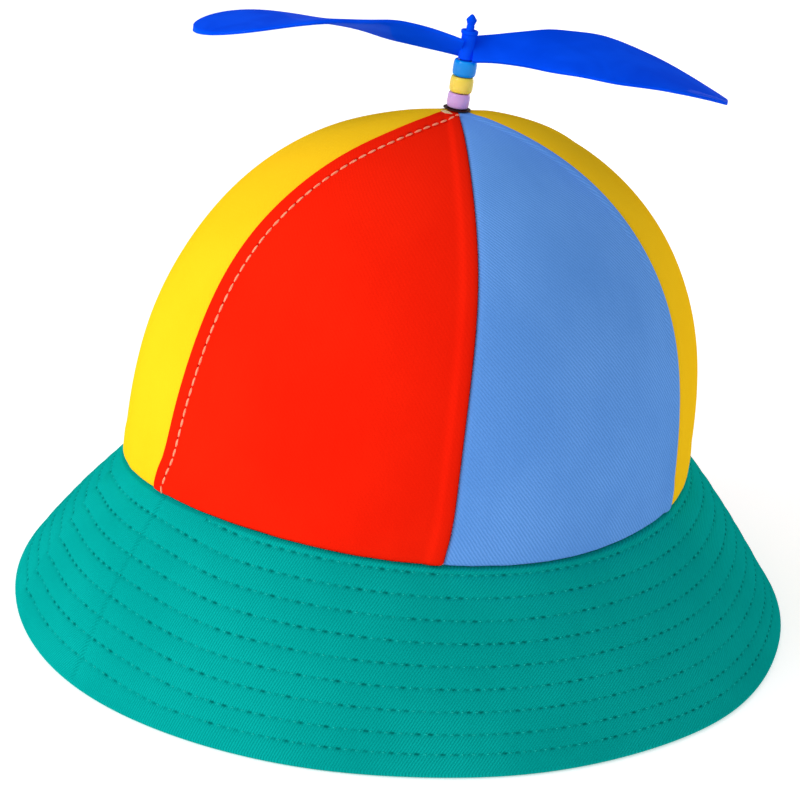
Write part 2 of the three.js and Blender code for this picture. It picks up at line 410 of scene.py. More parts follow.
def join_bump(tree, height, depth, target, under=None):
    bump = add_node(tree, "Bump", {"Strength": 1.0, "Distance": depth, "Height": height})
    if under is not None:
        tree.links.new(under, bump.inputs["Normal"])
    tree.links.new(bump.outputs[0], target)
    return bump.outputs[0]


# Cotton twill: a light and a dark tone of one dye, ribs at a slant, and needle holes with painted shade
def twill(name, dark, light, pitch, slant, rib_depth, rib_tone, stitch_pitch=STITCH_PITCH):
    material, tree, shader = start_material(name, Specular_IOR_Level=0.0)
    weave = use_group(tree, TWILL_WEAVE, Pitch=pitch, Slant=radians(slant))
    tone = use_group(tree, CLOTH_TONE)
    holes = use_group(tree, NEEDLE_HOLES, Pitch=stitch_pitch)
    drift = ramp(tree, tone["Drift"], 0.3, 0.7, 0.36, 0.64)
    slubbed = maths(tree, "MULTIPLY_ADD", maths(tree, "SUBTRACT", tone["Slub"], 0.5), 0.12, drift)
    contrast = ramp(tree, tone["Drift"], 0.35, 0.65, 0.4 * rib_tone, 1.4 * rib_tone)
    ribbed = maths(tree, "MULTIPLY_ADD", maths(tree, "SUBTRACT", weave["Rib"], 0.5), contrast, slubbed)
    fibred = maths(tree, "MULTIPLY_ADD", maths(tree, "SUBTRACT", tone["Fibre"], 0.5), 0.7, ribbed)
    dyed = mix_colours(tree, fibred, paint(*dark), paint(*light))
    # Painted shade: inside each needle hole the base colour is darkened to this
    hole_shade_colour = tuple(0.45 * value for value in paint(*dark)[:3]) + (1,)
    tree.links.new(mix_colours(tree, holes["Hole"], dyed, hole_shade_colour), shader["Base Color"])
    tree.links.new(ramp(tree, tone["Fibre"], 0.3, 0.7, 0.78, 0.95), shader["Roughness"])
    fine = maths(tree, "MULTIPLY_ADD", tone["Fibre"], 0.35, weave["Height"])
    woven = join_bump(tree, fine, rib_depth, shader["Normal"])
    slub_height = maths(tree, "MULTIPLY", tone["Slub"], 0.1)
    sunk = maths(tree, "SUBTRACT", slub_height, holes["Dimple"])
    join_bump(tree, sunk, 0.00022, shader["Normal"], woven)
    return material


# Sewing thread: two plies twisted round each other
def thread(name, dark, light):
    material, tree, shader = start_material(name, Specular_IOR_Level=0.0)
    place = add_node(tree, "TexCoord").outputs["Object"]
    plies = add_node(tree, "TexWave", {"Vector": place, "Scale": 900.0, "Distortion": 2.0})
    tree.links.new(mix_colours(tree, plies.outputs[1], paint(*dark), paint(*light)), shader["Base Color"])
    tree.links.new(ramp(tree, plies.outputs[1], 0.0, 1.0, 0.5, 0.7), shader["Roughness"])
    join_bump(tree, plies.outputs[1], 0.00008, shader["Normal"])
    return material


# Moulded plastic, glossy, with a faint grain
def moulded(name, dark, light, rough, gloss, glow=0.0):
    glossy = {"Specular_IOR_Level": 0.0, "Coat_Weight": gloss}
    milky = {"Subsurface_Weight": glow, "Subsurface_Scale": 0.002}
    material, tree, shader = start_material(name, **glossy, **milky)
    skin = use_group(tree, MOULDED_SKIN)
    flow = ramp(tree, skin["Flow"], 0.3, 0.7)
    tree.links.new(mix_colours(tree, flow, paint(*dark), paint(*light)), shader["Base Color"])
    tree.links.new(ramp(tree, skin["Flow"], 0.3, 0.7, rough * 0.85, rough * 1.2), shader["Roughness"])
    waved = maths(tree, "MULTIPLY_ADD", skin["Grain"], 0.12, skin["Flow"])
    join_bump(tree, waved, 0.00012, shader["Normal"])
    return material


RED_CLOTH = twill("red twill", (232, 22, 6), (255, 38, 12), 0.001, -41, 0.00002, 0.05, TOPSTITCH_PITCH)
BLUE_CLOTH = twill("blue twill", (80, 139, 218), (114, 171, 246), 0.00094, -41, 0.00007, 0.45)
YELLOW_CLOTH = twill("yellow twill", (250, 192, 20), (255, 208, 34), 0.001, -41, 0.00002, 0.06)
TEAL_CLOTH = twill("teal twill", (0, 147, 141), (8, 174, 166), 0.00076, -83, 0.00012, 0.6)
# The teal thread is lighter than the cloth: partly its own tone, partly a painted glint where it leaves each hole
TEAL_THREAD = thread("teal thread", (0, 160, 152), (36, 194, 184))
SALMON_THREAD = thread("salmon thread", (255, 136, 98), (255, 184, 148))
CREAM_THREAD = thread("cream thread", (226, 186, 128), (246, 220, 172))
WASHER_PLASTIC = moulded("dark washer", (40, 18, 12), (62, 30, 22), 0.5, 0.3)
LILAC_PLASTIC = moulded("lilac bead", (200, 156, 222), (216, 176, 234), 0.2, 0.7, 0.15)
YELLOW_PLASTIC = moulded("yellow bead", (242, 214, 70), (252, 228, 100), 0.2, 0.7, 0.15)
BLUE_PLASTIC = moulded("blue bead", (0, 132, 222), (4, 148, 240), 0.2, 0.5, 0.05)
PROPELLER_PLASTIC = moulded("propeller blue", (0, 70, 234), (4, 80, 246), 0.36, 0.03)


# The crown


def foot_point(angle):
    x = FOOT_CENTRE_X + FOOT_HALF_WIDTH * cos(angle)
    y = FOOT_CENTRE_Y + FOOT_HALF_LENGTH * sin(angle)
    z = FOOT_HEIGHT - FOOT_SADDLE * cos(2 * angle) - FOOT_TILT * cos(angle)
    return Vector((x, y, z))


def crown_spread(rise):
    side = cos(pi / 2 * rise)
    return side**SIDE_ROUNDNESS + BELLY_SHARE * sin(pi * rise) ** 2 * side


def crown_point(angle, rise):
    foot = foot_point(angle)
    spread = crown_spread(rise)
    climb = sin(pi / 2 * rise) ** TOP_ROUNDNESS
    x = lerp(PIN_X, foot.x, spread)
    y = lerp(PIN_Y, foot.y, spread)
    radius = spread * FOOT_HALF_WIDTH
    side = max(0, cos(angle - radians(TOP_DIP_HEADING)))
    dip = TOP_DIP * side * bell(radius - TOP_DIP_RADIUS, TOP_DIP_WIDTH)
    off_far = abs(turn_between(radians(FAR_DIP_HEADING), angle))
    far = 1 - smooth_step(off_far, radians(49), radians(61))
    dip += FAR_DIP * far * smooth_step(radius, 0.003, 0.012) * (1 - smooth_step(radius, 0.05, 0.075))
    dip -= PEAK_LIFT * bell(radius, PEAK_WIDTH)
    return Vector((x, y, lerp(foot.z, CROWN_HEIGHT, climb) - dip))


def crown_normal(angle, rise):
    step = 0.001
    point = crown_point(angle, rise)
    around = crown_point(angle + step, rise) - point
    upward = crown_point(angle, rise + step) - point
    return around.cross(upward).normalized()


# Lengths along a closed line, and the share of it at each step
def running_lengths(points):
    lengths = [0.0]
    for first, second in zip(points, points[1:]):
        lengths.append(lengths[-1] + (second - first).length)
    return lengths


FOOT_STEPS = 720
FOOT_LINE = [2 * pi * step / FOOT_STEPS for step in range(FOOT_STEPS + 1)]
FOOT_LENGTHS = running_lengths([foot_point(angle) * Vector((1, 1, 0)) for angle in FOOT_LINE])
TIP_RISE = acos((PANEL_TIP_RADIUS / FOOT_HALF_WIDTH) ** (1 / SIDE_ROUNDNESS)) / (pi / 2)


# Seams divide the foot into equal lengths, starting at the back seam
def seam_angle(seam):
    share = 0.25 + BACK_SEAM_TURN / 360 + seam / PANEL_COUNT
    turns = floor(share)
    wanted = (share - turns) * FOOT_LENGTHS[-1]
    step = bisect_right(FOOT_LENGTHS, wanted) - 1
    part = (wanted - FOOT_LENGTHS[step]) / (FOOT_LENGTHS[step + 1] - FOOT_LENGTHS[step])
    return 2 * pi * (turns + (step + part) / FOOT_STEPS)


def foot_speed(angle):
    return hypot(FOOT_HALF_WIDTH * sin(angle), FOOT_HALF_LENGTH * cos(angle))


# The seam's heading at a height up the cloth
def seam_heading(seam, rise, up):
    heading = seam_angle(seam)
    spread = crown_spread(rise)
    number = seam % PANEL_COUNT
    wander = 0
    if number < len(SEAM_WAVES):
        wander = sum(distance * bell(up - height, width) for height, distance, width in SEAM_WAVES[number])
    if number == 0:
        radius = spread * FOOT_HALF_WIDTH
        swing = FOLD_SWING * bell(radius - FOLD_SWING_RADIUS, FOLD_SWING_WIDTH)
        wander += swing * smooth_step(radius, 0.002, 0.012)
    return heading + wander / (foot_speed(heading) * spread)


def topstitch_inset(rise):
    return lerp(TOPSTITCH_INSET, TOPSTITCH_TOP_INSET, rise)


# How far the cloth stands off the crown's smooth form, from its distances to both seams and the foot
def panel_relief(seam, rise, before, after, up):
    if seam == 0:
        inset = topstitch_inset(rise)
        lift = LAP_LIFT * (1 - smooth_step(before, inset, inset + 0.0022))
        lift -= LAP_LIFT * exp(-max(before, 0) / (0.4 * LAP_FOLD_RADIUS))
        lift -= 0.0003 * bell(before - inset, 0.0006)
    else:
        lift = -SEAM_ROLL * exp(-max(before, 0) / SEAM_ROLL_WIDTH)
    if seam == PANEL_COUNT - 1:
        lift -= 0.0004 * exp(-max(after, 0) / 0.0012)
    else:
        lift += ALLOWANCE_LIFT * (1 - smooth_step(after, ALLOWANCE_WIDTH - 0.0012, ALLOWANCE_WIDTH + 0.0012))
        lift -= (SEAM_ROLL + ALLOWANCE_LIFT) * exp(-max(after, 0) / SEAM_ROLL_WIDTH)
    lift += FOOT_BAND_LIFT * (1 - smooth_step(up, FOOT_BAND_WIDTH - 0.002, FOOT_BAND_WIDTH + 0.003))
    return lift - FOOT_ROLL * exp(-up / FOOT_ROLL_WIDTH)


# Ease in the foot seam shows as small upright puckers that fade out upwards
def foot_puckers(point, up):
    strength = 0.00022 * exp(-up / 0.011)
    return strength * noise.noise(Vector((point.x * 150, point.y * 150, 3)))


def panel_surface(seam, angle, rise, before, after, up):
    point = crown_point(angle, rise)
    calm = smooth_step(crown_spread(rise) * FOOT_HALF_WIDTH, 0.0035, 0.011)
    lift = panel_relief(seam, rise, before, after, up) + foot_puckers(point, up)
    lift += CROWN_DRIFT * noise.noise(point * CROWN_DRIFT_SCALE)
    return point + crown_normal(angle, rise) * (lift * calm)


def row_rise(row):
    return TIP_RISE * crowded(row / PANEL_ROWS)


# Lengths up the middle of a panel at each row of its mesh
def climb_lengths(seam):
    middle = lerp(seam_angle(seam), seam_angle(seam + 1), 0.5)
    return running_lengths([crown_point(middle, row_rise(row)) for row in range(PANEL_ROWS + 1)])


# A panel's ends reach a little past the seam where one lies over the other
def panel_ends(seam):
    before = -LAP_OVERLAP if seam == 0 else SEAM_GAP
    after = -0.0003 if seam == PANEL_COUNT - 1 else SEAM_GAP
    return before, after


# A seam's cut edges turn in under the crown, so that nothing shows between two panels
def turn_edges_in(bm, turns, flat):
    ends = [edge for edge in bm.edges if edge.is_boundary and all(vert in turns for vert in edge.verts)]
    made = bmesh.ops.extrude_edge_only(bm, edges=ends)["geom"]
    for vert in [part for part in made if isinstance(part, bmesh.types.BMVert)]:
        source = next(edge.other_vert(vert) for edge in vert.link_edges if edge.other_vert(vert) in turns)
        vert.co = source.co - turns[source]
        flat[vert] = flat[source]


def crown_panel(name, seam, material, slot, node):
    end_before, end_after = panel_ends(seam)
    climbs = climb_lengths(seam)
    bm = bmesh.new()
    weave = bm.loops.layers.uv.new("weave")
    stitches = bm.loops.layers.uv.new("stitches")
    bmesh.ops.create_grid(bm, x_segments=PANEL_COLUMNS, y_segments=PANEL_ROWS, size=0.5)
    flat = {}
    turns = {}
    for vert in bm.verts:
        across = crowded(vert.co.x + 0.5)
        row = round((vert.co.y + 0.5) * PANEL_ROWS)
        rise = row_rise(row)
        up = climbs[row]
        spread = crown_spread(rise)
        first = seam_heading(seam, rise, up)
        last = seam_heading(seam + 1, rise, up)
        start = first + end_before / (foot_speed(first) * spread)
        end = last - end_after / (foot_speed(last) * spread)
        angle = lerp(start, end, across)
        width = FOOT_LENGTHS[-1] / PANEL_COUNT * spread
        before = end_before + across * (width - end_before - end_after)
        after = width - before
        vert.co = panel_surface(seam, angle, rise, before, after, up)
        row_place = (up / TOPSTITCH_PITCH, before - topstitch_inset(rise)) if seam == 0 else (0.5, 1)
        flat[vert] = ((before - width / 2, up), row_place)
        if across < 0.001 and seam != 0 or across > 0.999 and seam != PANEL_COUNT - 1:
            turns[vert] = crown_normal(angle, rise) * (TURNED_IN * smooth_step(spread, 0, 0.2) + 0.0004)
    turn_edges_in(bm, turns, flat)
    for face in bm.faces:
        for loop in face.loops:
            loop[weave].uv, loop[stitches].uv = flat[loop.vert]
    piece = finished(name, bm, material, "hat", slot, node)
    wall = piece.modifiers.new("cloth", "SOLIDIFY")
    wall.thickness = CLOTH_THICKNESS
    wall.offset = -1
    return piece


# Stitches are small spindles: length along the seam, width across it, and a little height
def stitch_shape():
    bm = bmesh.new()
    bmesh.ops.create_uvsphere(bm, u_segments=6, v_segments=5, radius=1, matrix=Matrix.Rotation(pi / 2, 4, "Y"))
    mesh = bpy.data.meshes.new("stitch")
    bm.to_mesh(mesh)
    bm.free()
    return mesh


STITCH = stitch_shape()


def add_stitch(bm, point, along, normal, length, width):
    side = normal.cross(along).normalized()
    axes = Matrix((along.normalized() * (length / 2), side * (width / 2), normal * (width * 0.45)))
    stitch = STITCH.copy()
    stitch.transform(Matrix.Translation(point) @ axes.transposed().to_4x4())
    bm.from_mesh(stitch)
    bpy.data.meshes.remove(stitch)


# A point on the red panel's row of stitches, and its heading
def topstitch_point(climbs, up):
    row = min(bisect_right(climbs, up) - 1, PANEL_ROWS - 1)
    part = (up - climbs[row]) / (climbs[row + 1] - climbs[row])
    rise = lerp(row_rise(row), row_rise(row + 1), part)
    spread = crown_spread(rise)
    inset = topstitch_inset(rise)
    first = seam_heading(0, rise, up)
    angle = first + inset / (foot_speed(first) * spread)
    width = FOOT_LENGTHS[-1] / PANEL_COUNT * spread
    return panel_surface(0, angle, rise, inset, width - inset, up), crown_normal(angle, rise), width - inset


# The row ends where the panel has become as narrow as the row's inset
def back_seam_stitches():
    climbs = climb_lengths(0)
    bm = bmesh.new()
    for stitch in range(floor(climbs[-1] / TOPSTITCH_PITCH)):
        up = (stitch + 0.5) * TOPSTITCH_PITCH
        start = topstitch_point(climbs, up - TOPSTITCH_LENGTH / 2)[0]
        end = topstitch_point(climbs, up + TOPSTITCH_LENGTH / 2)[0]
        middle, normal, room = topstitch_point(climbs, up)
        if room > 0.001:
            add_stitch(bm, middle + normal * 0.00016, end - start, normal, TOPSTITCH_LENGTH, TOPSTITCH_WIDTH)
    return finished("back_seam_stitches", bm, SALMON_THREAD, "hat", "red_cloth")


# A few close threads lock the red panel's tip under the washer
def tip_tack():
    bm = bmesh.new()
    heading = lerp(seam_angle(0), seam_angle(1), TACK_PLACE)
    centre = crown_point(heading, TACK_RISE)
    normal = crown_normal(heading, TACK_RISE)
    across = (crown_point(heading + 0.01, TACK_RISE) - centre).normalized()
    upward = normal.cross(across).normalized()
    line = (across + upward * TACK_SLANT).normalized()
    step = normal.cross(line)
    for number in range(5):
        point = centre + step * ((number - 2) * 0.00036) + normal * 0.0003
        add_stitch(bm, point, line, normal, TACK_LENGTH, 0.0005)
    return finished("tip_tack", bm, CREAM_THREAD, "hat", "red_cloth")


# The brim


def rim_reach(angle):
    reach = RIM_REACH
    for heading, height, width in RIM_WAVES:
        reach += height * bell(turn_between(radians(heading), angle), radians(width))
    return reach


def brim_point(angle, drop):
    top = foot_point(angle) - Vector((0, 0, BRIM_GAP))
    reach = rim_reach(angle)
    rim = Vector(((BRIM_HALF_WIDTH + reach) * cos(angle), (BRIM_HALF_LENGTH + reach) * sin(angle), 0))
    bow = BRIM_BOW * sin(pi * drop)
    return top.lerp(rim, drop) + Vector((bow * cos(angle), bow * sin(angle), 0))


def brim_axes(angle, drop):
    step = 0.002
    point = brim_point(angle, drop)
    around = (brim_point(angle + step, drop) - point).normalized()
    upward = (brim_point(angle, drop - step) - point).normalized()
    normal = around.cross(upward).normalized()
    return point, around, normal, normal.cross(around)


# The rim's round edge ends on the floor
def rim_drop(angle):
    height = foot_point(angle).z - BRIM_GAP
    return 1 - BRIM_WALL / 2 * 1.66 / height


# A place on the brim from the part of a lap after the brim's own seam
def brim_angle(part, share):
    return radians(BRIM_SEAM_START + BRIM_SEAM_DRIFT * share) + 2 * pi * part


# Metres down the slope where the line of stitches runs, after so many laps
def spiral_slope(laps):
    whole = floor(laps)
    part = laps - whole
    drop = 0.38 * smooth_step(part, 0, 0.07) + 0.62 * smooth_step(part, 0.13, 1)
    return min(SPIRAL_START + SPIRAL_SPACING * (whole + drop), SPIRAL_LOWEST)


# The lap whose row lies nearest to a place on the brim, and how far below that row the place is
def nearest_row(part, slope):
    best = None
    for lap in range(floor(SPIRAL_LAST) + 1):
        if SPIRAL_FIRST <= lap + part <= SPIRAL_LAST:
            below = slope - spiral_slope(lap + part)
            if best is None or abs(below) < abs(best[1]):
                best = (lap, below)
    return best


def brim_relief(angle, share, part):
    slope = share * BRIM_SLANT
    below = abs(nearest_row(part, slope)[1])
    lift = -STITCH_SINK * bell(below, STITCH_SINK_WIDTH)
    lift += QUILT_SWELL * sin(min(below / SPIRAL_SPACING, 1) * pi) ** 2
    lift -= BRIM_TUCK * exp(-slope / BRIM_TUCK_WIDTH)
    radius = lerp(FOOT_HALF_LENGTH, BRIM_HALF_LENGTH, share)
    off_seam = min(part, 1 - part) * 2 * pi * radius
    lift -= BRIM_SEAM_DEPTH * bell(off_seam, 0.0008)
    off_crease = turn_between(radians(CREASE_START + CREASE_DRIFT * share**0.7), angle) * radius
    lift += CREASE_LIFT * bell(off_crease, CREASE_WIDTH) * smooth_step(share, 0.0, 0.2)
    return lift


def brim_drift(point):
    slow = noise.noise(point * 22) * BRIM_DRIFT
    quick = noise.noise(point * 120) * 0.00014
    return slow + quick


# share runs down the slope from 0 to 1, and side turns from the outer face, 0, to the inner one, pi
def brim_surface(angle, share, side, part):
    point, around, normal, upward = brim_axes(angle, rim_drop(angle) * share)
    half = BRIM_WALL / 2
    middle = point - normal * half + normal * brim_drift(point) * (1 - smooth_step(share, 0.93, 1))
    face = half
    if cos(side) > 0:
        face += brim_relief(angle, share, part) * (1 - smooth_step(share, 0.95, 1))
    return middle + normal * (face * cos(side)) - upward * (half * sin(side))


def brim_rows():
    rows = [(row / BRIM_OUTER_ROWS, 0) for row in range(BRIM_OUTER_ROWS + 1)]
    rows += [(1, pi * step / BRIM_EDGE_STEPS) for step in range(1, BRIM_EDGE_STEPS)]
    rows += [(1 - row / BRIM_INNER_ROWS, pi) for row in range(BRIM_INNER_ROWS + 1)]
    rows += [(0, pi + pi * step / 4) for step in range(1, 5)]
    return rows


def spiral_point(laps):
    share = spiral_slope(laps) / BRIM_SLANT
    angle = brim_angle(laps % 1, share)
    return brim_point(angle, rim_drop(angle) * share)


# The line of stitches: its laps at short steps, and the lengths along it
def spiral_line():
    steps = round((SPIRAL_LAST - SPIRAL_FIRST) * 720)
    laps = [lerp(SPIRAL_FIRST, SPIRAL_LAST, step / steps) for step in range(steps + 1)]
    return laps, running_lengths([spiral_point(lap) for lap in laps])


SPIRAL_LAPS, SPIRAL_LENGTHS = spiral_line()


# Whole stitches sewn after so many laps
def stitches_sewn(laps):
    place = (laps - SPIRAL_FIRST) / (SPIRAL_LAST - SPIRAL_FIRST) * (len(SPIRAL_LAPS) - 1)
    step = min(max(floor(place), 0), len(SPIRAL_LAPS) - 2)
    return lerp(SPIRAL_LENGTHS[step], SPIRAL_LENGTHS[step + 1], place - step) / STITCH_PITCH


def stitched_brim():
    rows = brim_rows()
    bm = bmesh.new()
    weave = bm.loops.layers.uv.new("weave")
    stitches = bm.loops.layers.uv.new("stitches")
    bmesh.ops.create_grid(bm, x_segments=BRIM_COLUMNS, y_segments=len(rows) - 1, size=0.5)
    places = {}
    for vert in bm.verts:
        part = min(crowded(vert.co.x + 0.5, 0.45), 0.99999)
        share, side = rows[round((0.5 - vert.co.y) * (len(rows) - 1))]
        places[vert] = (part, share)
        vert.co = brim_surface(brim_angle(part, share), share, side, part)
    for face in bm.faces:
        middle = [sum(places[vert][item] for vert in face.verts) / 4 for item in (0, 1)]
        lap = nearest_row(middle[0], middle[1] * BRIM_SLANT)[0]
        for loop in face.loops:
            part, share = places[loop.vert]
            turn = 2 * pi * part * BRIM_CUT_SHARE
            radius = BRIM_CUT_RADIUS + share * BRIM_SLANT
            loop[weave].uv = (radius * cos(turn), radius * sin(turn))
            sewn = stitches_sewn(lap + part)
            loop[stitches].uv = (sewn, share * BRIM_SLANT - spiral_slope(lap + part))
    bmesh.ops.remove_doubles(bm, verts=bm.verts, dist=0.00001)
    piece = finished("stitched_brim", bm, TEAL_CLOTH, "hat", "teal_cloth", "brim")
    return piece


# Short spindles of thread beside the holes, whose lighter colour is partly a painted glint
def brim_stitches():
    bm = bmesh.new()
    for stitch in range(floor(SPIRAL_LENGTHS[-1] / STITCH_PITCH)):
        step = bisect_right(SPIRAL_LENGTHS, (stitch + STITCH_PLACE) * STITCH_PITCH)
        part = SPIRAL_LAPS[step] % 1
        share = spiral_slope(SPIRAL_LAPS[step]) / BRIM_SLANT
        angle = brim_angle(part, share)
        normal = brim_axes(angle, rim_drop(angle) * share)[2]
        along = spiral_point(SPIRAL_LAPS[step]) - spiral_point(SPIRAL_LAPS[step - 1])
        surface = brim_surface(angle, share, 0, part)
        add_stitch(bm, surface, along, normal, STITCH_SHOWING, STITCH_WIDTH)
    return finished("brim_stitches", bm, TEAL_THREAD, "hat", "teal_cloth")


# The pin and what it carries

LEAN_HEADING = radians(PIN_LEAN_HEADING)
LEAN_AXIS = Vector((-sin(LEAN_HEADING), cos(LEAN_HEADING), 0))
STAND = Matrix.Translation((PIN_X, PIN_Y, CROWN_HEIGHT + STACK_LIFT)) @ Matrix.Rotation(radians(PIN_LEAN), 4, LEAN_AXIS)


# Spins an outline of (radius, height) points about the pin
def turned(outline, closed, level=0.0, shift=0.0):
    bm = bmesh.new()
    verts = [bm.verts.new((radius, 0, height)) for radius, height in outline]
    pairs = list(zip(verts, verts[1:]))
    if closed:
        pairs.append((verts[-1], verts[0]))
    edges = [bm.edges.new(pair) for pair in pairs]
    geometry = verts + edges
    bmesh.ops.spin(bm, geom=geometry, axis=(0, 0, 1), cent=(0, 0, 0), steps=ROUND_STEPS, angle=2 * pi, use_merge=True)
    bmesh.ops.remove_doubles(bm, verts=bm.verts, dist=0.000002)
    bmesh.ops.recalc_face_normals(bm, faces=bm.faces)
    sideways = Vector((shift * cos(LEAN_HEADING), shift * sin(LEAN_HEADING), level))
    bmesh.ops.transform(bm, matrix=STAND @ Matrix.Translation(sideways), verts=bm.verts)
    return bm


# A ring whose section is a rectangle with soft corners
def ring_outline(inner, outer, height, softness, points=36):
    centre = (inner + outer) / 2
    outline = []
    for step in range(points):
        turn = 2 * pi * (step + 0.5) / points
        across, up = cos(turn), sin(turn)
        x = centre + (outer - inner) / 2 * abs(across) ** softness * (1 if across > 0 else -1)
        z = height / 2 + height / 2 * abs(up) ** softness * (1 if up > 0 else -1)
        outline.append((x, z))
    return outline


def pin_outline(hub_top):
    neck_top = hub_top + NECK_LENGTH
    widest = neck_top + BARB_TAPER
    return [
        (0, FLANGE_FOOT),
        (FLANGE_RADIUS - 0.0002, FLANGE_FOOT),
        (FLANGE_RADIUS, FLANGE_FOOT + 0.0002),
        (FLANGE_RADIUS, FLANGE_TOP - 0.0002),
        (FLANGE_RADIUS - 0.0002, FLANGE_TOP),
        (PIN_RADIUS, FLANGE_TOP),
        (PIN_RADIUS, neck_top - 0.0006),
        (PIN_RADIUS * 0.9, neck_top - 0.0002),
        (PIN_RADIUS * 1.02, neck_top + 0.0002),
        (BARB_RADIUS * 0.97, widest - 0.00025),
        (BARB_RADIUS, widest),
        (BARB_RADIUS * 0.93, widest + 0.0003),
        (BARB_RADIUS * 0.36, widest + BARB_POINT - 0.0003),
        (BARB_RADIUS * 0.18, widest + BARB_POINT - 0.00005),
        (0, widest + BARB_POINT),
    ]


BEADS = [
    ("bead_lilac", LILAC_PLASTIC, "lilac_bead", 0.00355, 0.0047, 0),
    ("bead_yellow", YELLOW_PLASTIC, "yellow_bead", 0.0037, 0.005, 0.00015),
    ("bead_blue", BLUE_PLASTIC, "blue_bead", 0.0037, 0.005, 0.0003),
]


def stack_on_pin():
    hole = PIN_RADIUS + THREAD_CLEARANCE
    washer = turned(ring_outline(hole, WASHER_RADIUS, WASHER_THICKNESS, 0.5), True, STACK_GAP)
    finished("top_washer", washer, WASHER_PLASTIC, "hat", "dark_washer", "washer")
    level = STACK_GAP + WASHER_THICKNESS + STACK_GAP
    for node, material, slot, radius, height, shift in BEADS:
        bead = turned(ring_outline(hole, radius, height, 0.56), True, level, shift)
        finished("barrel_" + node, bead, material, "hat", slot, node)
        level += height + STACK_GAP
    pin = turned(pin_outline(level + HUB_HEIGHT), False)
    finished("barbed_pin", pin, PROPELLER_PLASTIC, "hat", "blue_plastic", "pin")
    return level


# The propeller


# A smooth curve through the stations, item 1 for the width and 2 for the twist
def station_value(along, item):
    places = [station[0] for station in BLADE_STATIONS]
    values = [station[item] for station in BLADE_STATIONS]
    last = len(places) - 1
    after = min(max(bisect_right(places, along), 1), last)
    before = after - 1
    slopes = []
    for place in (before, after):
        low, high = max(place - 1, 0), min(place + 1, last)
        slopes.append((values[high] - values[low]) / (places[high] - places[low]))
    gap = places[after] - places[before]
    t = (along - places[before]) / gap
    start = (2 * t**3 - 3 * t**2 + 1) * values[before] + (t**3 - 2 * t**2 + t) * gap * slopes[0]
    return start + (3 * t**2 - 2 * t**3) * values[after] + (t**3 - t**2) * gap * slopes[1]


def blade_width(along):
    into_tip = max(0, 1 - BLADE_LENGTH * (1 - along) / BLADE_TIP_LENGTH)
    return BLADE_WIDTH * station_value(along, 1) * sqrt(max(0, 1 - into_tip**2))


def blade_point(along, turn, bend):
    width = blade_width(along)
    thickness = BLADE_THICKNESS * min(1, width / 0.002)
    across = width / 2 * abs(cos(turn)) ** 0.5 * (1 if cos(turn) > 0 else -1)
    up = thickness / 2 * abs(sin(turn)) ** 0.5 * (1 if sin(turn) > 0 else -1)
    twist = radians(station_value(along, 2))
    height = BLADE_ROOT_HEIGHT + BLADE_RISE * along - BLADE_DROOP * along**2 - bend * along**6
    y = across * cos(twist) - up * sin(twist)
    return Vector((BLADE_LENGTH * along, y, height + across * sin(twist) + up * cos(twist)))


# A sheet wrapped round the blade's section and closed at both ends
def blade(heading, place, bend):
    bm = bmesh.new()
    bmesh.ops.create_grid(bm, x_segments=BLADE_ALONG, y_segments=BLADE_AROUND, size=0.5)
    root = BLADE_STATIONS[0][0]
    for vert in bm.verts:
        step = round(vert.co.x + 0.5, 6)
        along = lerp(root, 0.9995, sin(pi / 2 * step))
        vert.co = blade_point(along, 2 * pi * (vert.co.y + 0.5), bend)
    bmesh.ops.remove_doubles(bm, verts=bm.verts, dist=0.000001)
    open_edges = [edge for edge in bm.edges if edge.is_boundary]
    bmesh.ops.holes_fill(bm, edges=open_edges, sides=0)
    bmesh.ops.recalc_face_normals(bm, faces=bm.faces)
    bmesh.ops.transform(bm, matrix=place @ Matrix.Rotation(radians(heading), 4, "Z"), verts=bm.verts)
    return bm


def hub_outline():
    bore = PIN_RADIUS + SPIN_CLEARANCE
    outer = bore + HUB_WALL
    collar = HUB_HEIGHT - COLLAR_HEIGHT
    soft = 0.00018
    return [
        (bore, 0),
        (outer - soft, 0),
        (outer, soft),
        (outer, collar - soft),
        (outer + soft, collar),
        (outer + COLLAR_STEP - soft, collar + soft),
        (outer + COLLAR_STEP, collar + 2 * soft),
        (outer + COLLAR_STEP, HUB_HEIGHT - soft),
        (outer + COLLAR_STEP - soft, HUB_HEIGHT),
        (bore + soft, HUB_HEIGHT),
        (bore, HUB_HEIGHT - soft),
    ]


def loose_object(name, bm):
    mesh = bpy.data.meshes.new(name)
    bm.to_mesh(mesh)
    bm.free()
    made = bpy.data.objects.new(name, mesh)
    bpy.context.scene.collection.objects.link(made)
    return made


def propeller(level):
    hub = loose_object("hub", turned(hub_outline(), True, level))
    place = STAND @ Matrix.Translation((0, 0, level))
    blades = []
    for number, bend in enumerate(BLADE_BENDS):
        blades.append(loose_object("blade", blade(BLADE_HEADING + 180 * number, place, bend)))
    for each in blades:
        union = hub.modifiers.new("join", "BOOLEAN")
        union.operation = "UNION"
        union.solver = "EXACT"
        union.object = each
    joined = hub.evaluated_get(bpy.context.evaluated_depsgraph_get())
    bm = bmesh.new()
    bm.from_mesh(joined.to_mesh())
    joined.to_mesh_clear()
    for each in [hub, *blades]:
        bpy.data.objects.remove(each)
    bmesh.ops.remove_doubles(bm, verts=bm.verts, dist=0.000002)
    sharp = [edge for edge in bm.edges if len(edge.link_faces) == 2 and edge.calc_face_angle() > radians(38)]
    for edge in sharp:
        edge.smooth = False
    return finished("two_blade_propeller", bm, PROPELLER_PLASTIC, "rotor", "blue_plastic", "propeller")


# The studio


def direction(turn, rise):
    turn, rise = radians(turn), radians(rise)
    return Vector((sin(turn) * cos(rise), -cos(turn) * cos(rise), sin(rise)))


